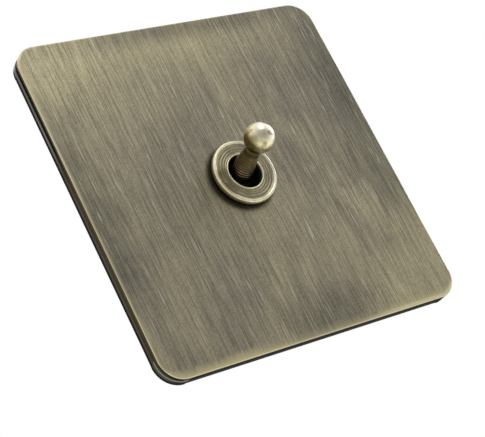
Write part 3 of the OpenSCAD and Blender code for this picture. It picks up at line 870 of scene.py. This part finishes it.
def add_hook(bm, outline, x0, x1):
    """An outline made solid across X, whose two end faces have a small chamfer."""
    edge, shrunk = 0.12, 0.92
    cy = sum(p[0] for p in outline) / len(outline)
    cz = sum(p[1] for p in outline) / len(outline)

    def drawn(x, k):
        return add_ring(bm, [(x, cy + (y - cy) * k, cz + (z - cz) * k) for y, z in outline])

    ends = [drawn(x0, shrunk), drawn(x0 + edge, 1.0), drawn(x1 - edge, 1.0), drawn(x1, shrunk)]
    bridge_capped(bm, ends)


def make_collar(material):
    bm = bmesh.new()
    top, base = -COLLAR_LOW.y, -FRONT_Y
    face = top - 0.25
    lip, lip_edge = HOLE_R + 0.5, 0.16
    face_r = COLLAR_R - 0.8
    rim = 0.5
    profile = [(COLLAR_R - 0.35, base), (COLLAR_R - 0.08, base + 0.15), (COLLAR_R, base + 0.4)]
    profile += arc_points(COLLAR_R - rim, top - rim, rim, 0, 90, 9)
    profile += [(face_r + 0.12, top - 0.05), (face_r + 0.02, face + 0.06), (face_r - 0.1, face)]
    # Turned grooves on the face
    grooves = 7
    step = (face_r - 0.3 - lip - 0.1) / grooves
    for i in range(grooves):
        r = face_r - 0.3 - i * step
        depth = 0.09 if i % 2 else 0.045
        profile += [(r, face), (r - 0.05, face - depth), (r - 0.14, face - depth), (r - 0.19, face)]
    profile += [(lip + 0.04, face - 0.02), (lip - 0.03, face + 0.1)]
    profile += arc_points(lip - 0.22, top - lip_edge, lip_edge, 20, 160, 7)
    profile += [(HOLE_R + 0.02, top - 0.26), (HOLE_R, top - 0.4)]
    # The seat on the case's nose, and the thread inside the skirt
    nose, low = -COVER_LOW.y, -COLLAR_HIGH.y
    bore_r, skirt_r = NOSE_HOLE_R, 6.9
    profile += [(HOLE_R, nose + 0.1), (bore_r, nose + 0.1)]
    turns = 5
    pitch = (nose - low) / (turns + 1)
    for i in range(turns):
        h = nose - (i + 0.5) * pitch
        profile += [(bore_r, h + 0.12), (bore_r + 0.22, h), (bore_r, h - 0.12)]
    profile += [(bore_r, low + 0.1), (bore_r + 0.1, low), (skirt_r - 0.1, low)]
    profile += [(skirt_r, low + 0.1), (skirt_r, base)]
    add_lathe(bm, profile, 160, TOWARDS_ROOM, closed=True)
    place(new_object("brass_collar", bm, 50), "switch", "collar", material)


def pin_hole(reach, play):
    """The shape that makes room for the pivot pin."""
    return lambda bm: add_rod(bm, (-reach, PIVOT_Y, 0), (reach, PIVOT_Y, 0), PIN_R + play)


def make_lever(material):
    bm = bmesh.new()
    foot_r, waist_r, spigot_r = 3.2, 1.9, 2.0
    foot_s, waist_s, spigot_s = 3.6, BALL_S - 0.9 * BALL_R, -1.8
    profile = [(0, spigot_s), (spigot_r - 0.15, spigot_s), (spigot_r, spigot_s + 0.15)]
    profile += [(spigot_r, foot_s), (foot_r - 0.1, foot_s), (foot_r, foot_s + 0.1)]
    steps, rings = 72, 15
    for i in range(2, steps + 1):
        t = i / steps
        r = waist_r + (foot_r - waist_r) * (1 - t) ** 1.4
        # Fine rings, deeper towards the foot
        ring = 0.5 + 0.5 * math.cos(2 * math.pi * t * rings)
        strength = 0.055 * (1 - t) ** 0.7 + 0.01
        s = foot_s + t * (waist_s - foot_s)
        profile.append((r - strength * (1 - ring), s))
    # The ball's underside runs out of the waist with a small fillet
    start = math.degrees(math.asin((waist_r + 0.12) / BALL_R))
    steps = 40
    for i in range(steps + 1):
        a = math.radians(start + (180 - start) * i / steps)
        profile.append((BALL_R * math.sin(a), BALL_S - BALL_R * math.cos(a)))
    profile[-1] = (0, BALL_S + BALL_R)
    add_lathe(bm, profile, 128, LEVER_AXIS)
    place(new_object("brass_lever", bm, 60), "lever", "toggle_lever", material)


def make_hub(material):
    hub_r, tail_r, socket_r, bore_r = 4.15, 2.6, 2.03, 1.45
    top_s, socket_s, tail_s = 3.6, -1.83, -7.5

    def body(bm):
        profile = [(0, socket_s), (socket_r, socket_s), (socket_r, top_s - 0.1)]
        profile += [(socket_r + 0.1, top_s)]
        start = math.degrees(math.acos(top_s / hub_r))
        end = 180 - math.degrees(math.asin(tail_r / hub_r))
        steps = 32
        for i in range(steps + 1):
            a = math.radians(start + (end - start) * i / steps)
            profile.append((hub_r * math.sin(a), hub_r * math.cos(a)))
        profile += [(tail_r, tail_s + 0.25), (tail_r - 0.25, tail_s), (bore_r + 0.1, tail_s)]
        profile += [(bore_r, tail_s + 0.1), (bore_r, BORE_END), (0, BORE_END)]
        add_lathe(bm, profile, 96, LEVER_AXIS)

    obj = carved("lever_hub_moulding", body, [("DIFFERENCE", pin_hole(6, 0.05))], 0.06)
    place(obj, "lever", "lever_hub", material)


# ---- What holds it together ----


def threaded(r, root, low, high, pitch):
    """Points of a thread with crests at radius r, from height low to height high."""
    points = []
    for i in range(int((high - low) / pitch)):
        h = low + i * pitch
        points += [(root, h), (root, h + 0.12 * pitch), (r, h + 0.45 * pitch), (r, h + 0.6 * pitch)]
    return points


def make_pin(material):
    bm = bmesh.new()
    half = box_mm("pivot_pin")[1].x
    profile = [(0, -half), (PIN_R - 0.2, -half), (PIN_R, -half + 0.22)]
    profile += [(r, -h) for r, h in reversed(profile)]
    across = Matrix.Translation((0, PIVOT_Y, 0)) @ Matrix.Rotation(math.pi / 2, 4, "Y")
    add_lathe(bm, softened(profile, 0.06), 48, across)
    place(new_object("pivot_pin_ground", bm), "switch", "pivot_pin", material)


def make_nut(material):
    low, high = -NUT_HIGH.y, -NUT_LOW.y
    flats, slope = 17.0, 0.45
    corner = flats / math.sqrt(3)
    bore_r = NOSE_R + 0.05

    def hexagon(bm):
        add_slab(bm, circle(corner, 6), NUT_LOW.y, NUT_HIGH.y)

    def turned(bm):
        face_r, outer_r = flats / 2 - 0.1, corner + 0.1
        profile = [(0, low), (face_r, low), (outer_r, low + slope)]
        profile += [(outer_r, high - slope), (face_r, high), (0, high)]
        add_lathe(bm, profile, 96, TOWARDS_ROOM)

    def bore(bm):
        profile = [(0, low - 1), (bore_r, low - 1), (bore_r, low)]
        profile += threaded(bore_r, bore_r + 0.25, low + 0.1, high - 0.1, 0.6)
        profile += [(bore_r, high), (bore_r, high + 1), (0, high + 1)]
        add_lathe(bm, profile, 96, TOWARDS_ROOM)

    obj = carved("hexagon_lock_nut", hexagon, [("INTERSECT", turned), ("DIFFERENCE", bore)], 0.05)
    place(obj, "switch", "lock_nut", material)


def make_washer(material):
    bm = bmesh.new()
    outer_r, notch_r, half_notch, teeth = WASHER_HIGH.x, WASHER_HIGH.x - 0.8, 0.6, 12
    at_outer = math.degrees(math.asin(half_notch / outer_r))
    at_notch = math.degrees(math.asin(half_notch / notch_r))
    outline = []
    for i in range(teeth):
        start, end = i * 360 / teeth, (i + 1) * 360 / teeth
        outline += arc_points(0, 0, outer_r, at_outer + start, end - at_outer, 6)
        outline += arc_points(0, 0, notch_r, end - at_notch, end + at_notch, 2)
    add_prism(bm, outline, [circle(NOSE_HOLE_R, 72)], WASHER_LOW.y, WASHER_HIGH.y, 0.07)
    place(new_object("toothed_washer", bm), "switch", "lock_washer", material)


def make_yoke(material):
    bm = bmesh.new()
    # Half of its width and height, and of its ears'
    w, h, ear_w, ear_h = 25.0, 28.0, YOKE_HIGH.x, 8.0
    r, fillet = 3.0, 1.2
    quarter = arc_points(ear_w - r, ear_h - r, r, 0, 90, 10)
    quarter += arc_points(w + fillet, ear_h + fillet, fillet, 270, 180, 6)
    quarter += arc_points(w - r, h - r, r, 0, 90, 10)
    outline = quarter + [(-x, z) for x, z in reversed(quarter)]
    outline += [(-x, -z) for x, z in quarter]
    outline += [(x, -z) for x, z in reversed(quarter)]
    earth_hole_r, key_hole_r = 1.35, 1.6
    holes = [circle(NOSE_HOLE_R, 72), circle(earth_hole_r, 32, EARTH_X, EARTH_Z)]
    holes += [circle(key_hole_r, 32, 0, z) for z in KEYS]
    holes += [slot_outline(7, 4, 16, sx * FIXING_X) for sx in SIDES]
    add_prism(bm, outline, holes, YOKE_LOW.y, YOKE_HIGH.y, 0.16, 3)
    place(new_object("steel_yoke", bm), "switch", "mounting_yoke", material)


def at_rivets(make):
    """The same shape at each of the case's four rivets."""

    def every(bm):
        for sx, sz in CORNERS:
            make(bm, sx * RIVET_X, sz * RIVET_Z)

    return every


def make_cover(material):
    w, h = COVER_HIGH.x * 2, COVER_HIGH.z * 2
    front, back = YOKE_HIGH.y, COVER_HIGH.y
    nose = -COVER_LOW.y
    wall, floor, overlap = 1.5, 2, 0.5
    key_r, pillar_r, bore_r = 1.5, 2.4, 4.4

    def shell(bm):
        add_slab(bm, rounded_rect(w, h, CASE_CORNER, 6), front, back)

    def cavity(bm):
        inside = rounded_rect(w - 2 * wall, h - 2 * wall, 0.4, 3)
        add_slab(bm, inside, front + floor, back + 1)

    def pillars(bm, x, z):
        add_rod(bm, (x, front + overlap, z), (x, back, z), pillar_r)

    def threads(bm):
        profile = [(0, -front - overlap), (NOSE_ROOT_R + 0.03, -front - overlap)]
        profile += threaded(NOSE_R, NOSE_ROOT_R, -front + 0.2, nose - 0.35, 0.6)
        profile += [(NOSE_ROOT_R, nose - 0.25), (NOSE_ROOT_R - 0.12, nose), (0, nose)]
        add_lathe(bm, profile, 96, TOWARDS_ROOM)

    def keys(bm):
        for z in KEYS:
            add_rod(bm, (0, YOKE_LOW.y + 0.2, z), (0, front + overlap, z), key_r)

    def bore(bm):
        add_rod(bm, (0, -nose - 1, 0), (0, front + 3, 0), bore_r, 96)

    def rivet_holes(bm, x, z):
        head_r, head_depth, through = 2.05, 0.8, back - front + 1
        profile = [(0, -1), (head_r, -1), (head_r, head_depth), (RIVET_HOLE_R, head_depth)]
        profile += [(RIVET_HOLE_R, through), (0, through)]
        add_lathe(bm, profile, 40, towards_wall(x, front, z))

    obj = carved(
        "case_cover_moulding",
        shell,
        [
            ("DIFFERENCE", cavity),
            ("UNION", at_rivets(pillars)),
            ("UNION", threads),
            ("UNION", keys),
            ("DIFFERENCE", bore),
            ("DIFFERENCE", pin_hole(8, 0.025)),
            ("DIFFERENCE", at_rivets(rivet_holes)),
        ],
        0.16,
    )
    place(obj, "switch", "case_cover", material)


def make_base(material):
    w, h = BASE_HIGH.x * 2, BASE_HIGH.z * 2
    front, rear = BASE_LOW.y, BASE_HIGH.y
    wire_y = front + 3.6
    pocket, pocket_rear = 6.8, rear - 1.9
    groove_w, groove_h, groove_depth = 20, 2, 3

    def body(bm):
        add_slab(bm, rounded_rect(w, h, CASE_CORNER, 6), front, rear)

    def pockets(bm):
        for z in TERMINALS:
            add_slab(bm, rounded_rect(pocket, pocket, 0.25, 2, 0, z), front - 1, pocket_rear)

    def screw_holes(bm):
        r, lead_r, depth = 3.2, 3.5, rear - pocket_rear
        profile = [(0, -1), (r, -1), (r, depth - 0.35), (lead_r, depth)]
        profile += [(lead_r, depth + 1), (0, depth + 1)]
        for z in TERMINALS:
            add_lathe(bm, profile, 56, towards_wall(0, pocket_rear, z))

    def wire_holes(bm):
        r, lead_r, depth = 2.0, 2.5, w / 2
        profile = [(0, 0), (r, 0), (r, depth - 0.5), (lead_r, depth)]
        profile += [(lead_r, depth + 1), (0, depth + 1)]
        for z in TERMINALS:
            to_left = Matrix.Translation((0, wire_y, z)) @ Matrix.Rotation(-math.pi / 2, 4, "Y")
            add_lathe(bm, profile, 48, to_left)

    def grooves(bm):
        for z in (-PITCH / 2, PITCH / 2):
            outline = rounded_rect(groove_w, groove_h, 0.3, 2, 0, z)
            add_slab(bm, outline, rear - groove_depth, rear + 1)

    def rivet_holes(bm, x, z):
        add_rod(bm, (x, front - 1, z), (x, rear + 1, z), RIVET_HOLE_R, 32)

    obj = carved(
        "terminal_base_moulding",
        body,
        [
            ("DIFFERENCE", pockets),
            ("DIFFERENCE", screw_holes),
            ("DIFFERENCE", wire_holes),
            ("DIFFERENCE", grooves),
            ("DIFFERENCE", at_rivets(rivet_holes)),
        ],
        0.16,
    )
    place(obj, "switch", "terminal_base", material)


def make_rivets(material):
    bm = bmesh.new()
    low, high = box_mm("case_rivets")
    head, top, head_r = BASE_HIGH.y - low.y, high.y - low.y, 2.0
    # From the factory head in front, along the shank, to the head that was closed at the rear
    profile = [(0, 0), (head_r - 0.15, 0), (head_r, 0.15), (head_r, 0.55), (head_r - 0.15, 0.7)]
    profile += [(RIVET_R, 0.7), (RIVET_R, head), (head_r - 0.15, head), (head_r, head + 0.12)]
    profile += [(head_r - 0.05, head + 0.34), (1.65, top - 0.1), (1.2, top), (0.85, top - 0.03)]
    profile += [(0.62, top - 0.26), (0.3, top - 0.36), (0, top - 0.38)]
    for sx, sz in CORNERS:
        spot = towards_wall(sx * RIVET_X, low.y, sz * RIVET_Z)
        add_lathe(bm, softened(profile, 0.08), 48, spot)
    place(new_object("case_rivets_closed", bm), "switch", "case_rivets", material)


def make_screws(node, spots, material):
    """Cheese-head clamp screws with a slot. Each spot is a screw's place in X and Z."""
    low, high = box_mm(node)
    length = high.y - low.y
    head, head_r, thread_r, root_r = length - 1.3, 2.6, 1.4, 1.15
    slot_depth, slot_half, first_turn, next_turn = 0.55, 0.3, 28, 47

    def bodies(bm):
        profile = [(0, 0), (root_r - 0.15, 0), (root_r, 0.25)]
        profile += threaded(thread_r, root_r, 0.3, head - 0.35, 0.5)
        profile += [(root_r, head - 0.05), (root_r + 0.1, head), (head_r - 0.2, head)]
        profile += [(head_r, head + 0.18), (head_r, head + 0.95), (head_r - 0.18, head + 1.2)]
        profile += [(1.9, length - 0.02), (0, length)]
        for x, z in spots:
            add_lathe(bm, profile, 56, towards_wall(x, low.y, z))

    def slots(bm):
        for index, (x, z) in enumerate(spots):
            turn = Matrix.Rotation(math.radians(first_turn + next_turn * index), 4, "Y")
            before = set(bm.verts)
            low_corner = (-3.2, high.y - slot_depth, -slot_half)
            add_block(bm, low_corner, (3.2, high.y + 1, slot_half))
            added = [v for v in bm.verts if v not in before]
            bmesh.ops.transform(bm, matrix=Matrix.Translation((x, 0, z)) @ turn, verts=added)

    obj = carved(node + "_slotted", bodies, [("DIFFERENCE", slots)], 0.05)
    place(obj, "switch", node, material)


def make_earth_rivet(material):
    bm = bmesh.new()
    low, high = box_mm("earth_rivet")
    length = high.y - low.y
    head_r, head_h, shank_r = 2.4, 0.6, 1.3
    profile = [(0, 0)]
    for a in range(15, 91, 15):
        a = math.radians(a)
        profile.append((head_r * math.sin(a), head_h - head_h * math.cos(a)))
    profile += [(head_r, head_h), (shank_r, head_h), (shank_r, length - 0.15)]
    profile += [(shank_r - 0.15, length), (0, length)]
    add_lathe(bm, softened(profile, 0.05), 48, towards_wall(EARTH_X, low.y, EARTH_Z))
    place(new_object("earth_rivet_headed", bm), "switch", "earth_rivet", material)


def make_spring(material):
    """A round-wire coil spring, drawn at one length; in the switch it shortens as the plunger
    slides back.
    """
    bm = bmesh.new()
    margin, plunger_end = 0.23, -5.6
    top, low = BORE_END - margin, plunger_end + margin
    turns, steps, sides, r, wire = 5, 40, 12, 1.1, 0.18
    rings = []
    for i in range(turns * steps + 1):
        a = 2 * math.pi * i / steps
        s = low + (top - low) * i / (turns * steps)
        ring = []
        for k in range(sides):
            b = 2 * math.pi * k / sides
            out = r + wire * math.cos(b)
            point = Vector((out * math.cos(a), out * math.sin(a), s + wire * math.sin(b)))
            ring.append(LEVER_AXIS @ point)
        rings.append(add_ring(bm, ring))
    bridge_capped(bm, rings)
    obj = place(new_object("coil_spring", bm), "lever", "plunger_spring", material)
    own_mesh(obj)


# ---- Camera, lights and floor ----


def make_camera():
    data = bpy.data.cameras.new("camera")
    data.sensor_width = 36.0
    data.lens = 118.2
    data.clip_start, data.clip_end = 0.01, 20.0
    camera = bpy.data.objects.new("camera", data)
    right = Vector((0.79339, -0.42866, -0.43219)).normalized()
    back = Vector((-0.57365, -0.76401, -0.29532)).normalized()
    up = back.cross(right).normalized()
    turn = Matrix((right, up, back)).transposed().to_4x4()
    place_in_room = (-0.216026, -0.279890 + FRONT_Y * MM, -0.118935)
    camera.matrix_world = Matrix.Translation(place_in_room) @ turn
    scene.collection.objects.link(camera)
    scene.camera = camera


def make_light(name, position, target, size, power, colour=(1, 1, 1)):
    data = bpy.data.lights.new(name, "AREA")
    data.shape = "RECTANGLE"
    data.size, data.size_y = size
    data.energy = power
    data.color = colour
    light = bpy.data.objects.new(name, data)
    light.location = position
    aim = Vector(target) - Vector(position)
    light.rotation_mode = "QUATERNION"
    light.rotation_quaternion = aim.to_track_quat("-Z", "Y")
    scene.collection.objects.link(light)


def make_world():
    """A white surround in the plate's plane, dimmer in front and behind. The camera sees
    plain white."""
    world = bpy.data.worlds.new("studio")
    scene.world = world
    nodes = Nodes(world)
    nodes.tree.nodes.clear()
    direction = nodes.add("TexCoord").outputs["Generated"]
    depth = nodes.add("SeparateXYZ", Vector=direction).outputs[1]
    share = nodes.add("MapRange", Value=depth, From_Min=-1.0).outputs["Result"]
    ramp = nodes.add("ValToRGB", Fac=share)
    # Depth of the direction, and half the light that comes from there
    stops = ((-1.0, 0.16), (-0.85, 0.21), (-0.72, 0.30), (-0.45, 0.44), (-0.15, 0.62))
    stops += ((0.1, 0.55), (0.4, 0.24), (0.75, 0.09), (1.0, 0.09))
    while len(ramp.color_ramp.elements) < len(stops):
        ramp.color_ramp.elements.new(0.5)
    for element, (y, light) in zip(ramp.color_ramp.elements, stops):
        element.position = (y + 1) / 2
        element.color = (light, light * 0.995, light * 0.98, 1)
    lit = nodes.add("Background", Color=ramp.outputs["Color"], Strength=2.0)
    seen = nodes.add("Background", Color=(1, 1, 1), Strength=1.0)
    mixed = nodes.add("MixShader", Fac=nodes.add("LightPath").outputs["Is Camera Ray"])
    nodes.put(mixed.inputs[1], lit.outputs[0])
    nodes.put(mixed.inputs[2], seen.outputs[0])
    nodes.add("OutputWorld", Surface=mixed.outputs[0])


def make_floor():
    bm = bmesh.new()
    radius, drop = 2500, 175
    bmesh.ops.create_circle(bm, cap_ends=True, radius=radius, segments=96)
    bmesh.ops.translate(bm, vec=(0, 0, -drop), verts=bm.verts)
    floor = new_object("studio_floor", bm)
    floor.modifiers.clear()
    f = Finish("studio_floor")
    f.colour(f.mix(f.noise(6.0), (0.86, 0.86, 0.855), (0.90, 0.90, 0.895)))
    f.roughness(0.9)
    floor.data.materials.append(f.material)
    floor.visible_glossy = False


make_camera()
make_world()
make_floor()
make_light("right", (0.95, 0.0, 0.36), (0, 0, 0), (0.45, 0.45), 2.4, (1.0, 0.99, 0.97))
make_light("top_front", (0.25, -0.66, 0.70), (0, 0, 0), (0.4, 0.4), 1.2)
make_light("back_top", (0.1, 0.75, 0.65), (0, 0, 0), (0.5, 0.5), 2.0)

EVEN, ACROSS, UPRIGHT = (900, 900, 900), (60, 900, 900), (900, 900, 60)
GREY, YOKE_STAIN = (0.2, 0.19, 0.18), (0.33, 0.31, 0.26)
# Tint, darker tint, roughness, grain and, where it isn't the usual brown, stain and its share
METALS = {
    "pin_steel": ((0.62, 0.63, 0.64), (0.40, 0.41, 0.42), (0.2, 0.34), ACROSS, GREY, 0.15),
    "nut_brass": ((0.78, 0.62, 0.32), (0.55, 0.42, 0.2), (0.25, 0.42), UPRIGHT),
    "washer_steel": (
        (0.6, 0.61, 0.62), (0.4, 0.41, 0.42), (0.28, 0.45), (500, 500, 500), (0.22, 0.2, 0.17), 0.2
    ),
    "yoke_steel": (
        (0.66, 0.67, 0.68), (0.45, 0.46, 0.47), (0.26, 0.46), (900, 900, 35), YOKE_STAIN, 0.25
    ),
    "rivet_brass": ((0.80, 0.62, 0.30), (0.55, 0.41, 0.18), (0.25, 0.42), (700, 700, 700)),
    "terminal_brass": ((0.82, 0.67, 0.36), (0.58, 0.45, 0.22), (0.22, 0.4), (60, 1200, 1200)),
    "screw_brass": ((0.84, 0.72, 0.42), (0.6, 0.49, 0.26), (0.2, 0.36), EVEN),
    "spring_steel": (
        (0.66, 0.67, 0.68), (0.42, 0.43, 0.44), (0.18, 0.3), (1500, 1500, 1500), GREY, 0.1
    ),
    "rocker_copper": (
        (0.80, 0.45, 0.28), (0.52, 0.27, 0.16), (0.24, 0.42), UPRIGHT, (0.25, 0.13, 0.08)
    ),
    "contact_silver": (
        (0.88, 0.88, 0.87), (0.66, 0.66, 0.65), (0.18, 0.32), EVEN, (0.35, 0.33, 0.3), 0.2
    ),
}
# Tint, roughness, scale of the fine grain, and the rubbed edges' colour
PLASTICS = {
    "hub_nylon": ((0.008, 0.008, 0.009), 0.5, 1600.0, (0.03, 0.03, 0.03)),
    "case_black": ((0.018, 0.018, 0.019), 0.42, 1500.0, (0.07, 0.07, 0.07)),
    "base_black": ((0.026, 0.026, 0.027), 0.48, 1100.0, (0.09, 0.09, 0.09)),
    "plunger_nylon": ((0.68, 0.64, 0.53), 0.4, 1500.0, (0.5, 0.46, 0.36)),
}
finish = {name: machined_metal(name, *look) for name, look in METALS.items()}
finish.update({name: moulded_plastic(name, *look) for name, look in PLASTICS.items()})

make_face_plate(plate_brass())
make_trim_frame(frame_black())
make_collar(collar_brass())
make_lever(lever_brass())
make_hub(finish["hub_nylon"])
make_pin(finish["pin_steel"])
make_nut(finish["nut_brass"])
make_washer(finish["washer_steel"])
make_yoke(finish["yoke_steel"])
make_cover(finish["case_black"])
make_base(finish["base_black"])
make_rivets(finish["rivet_brass"])
make_screws("terminal_screws", [(0, z) for z in TERMINALS], finish["screw_brass"])
make_screws("earth_screw", [(EARTH_X, EARTH_Z)], finish["screw_brass"])
make_earth_rivet(finish["rivet_brass"])
make_spring(finish["spring_steel"])
for node, body, edge, name in (
    ("plunger", "plunger", 0.05, "plunger_nylon"),
    ("rocker_contact", "rocker", 0.08, "rocker_copper"),
    ("moving_contacts", "rocker", 0.06, "contact_silver"),
    ("fixed_contacts", "switch", 0.08, "contact_silver"),
    ("common_terminal", "switch", 0.12, "terminal_brass"),
    ("upper_terminal", "switch", 0.12, "terminal_brass"),
    ("lower_terminal", "switch", 0.12, "terminal_brass"),
    ("earth_terminal", "switch", 0.12, "terminal_brass"),
):
    place(rounded_copy(node, edge), body, node, finish[name])
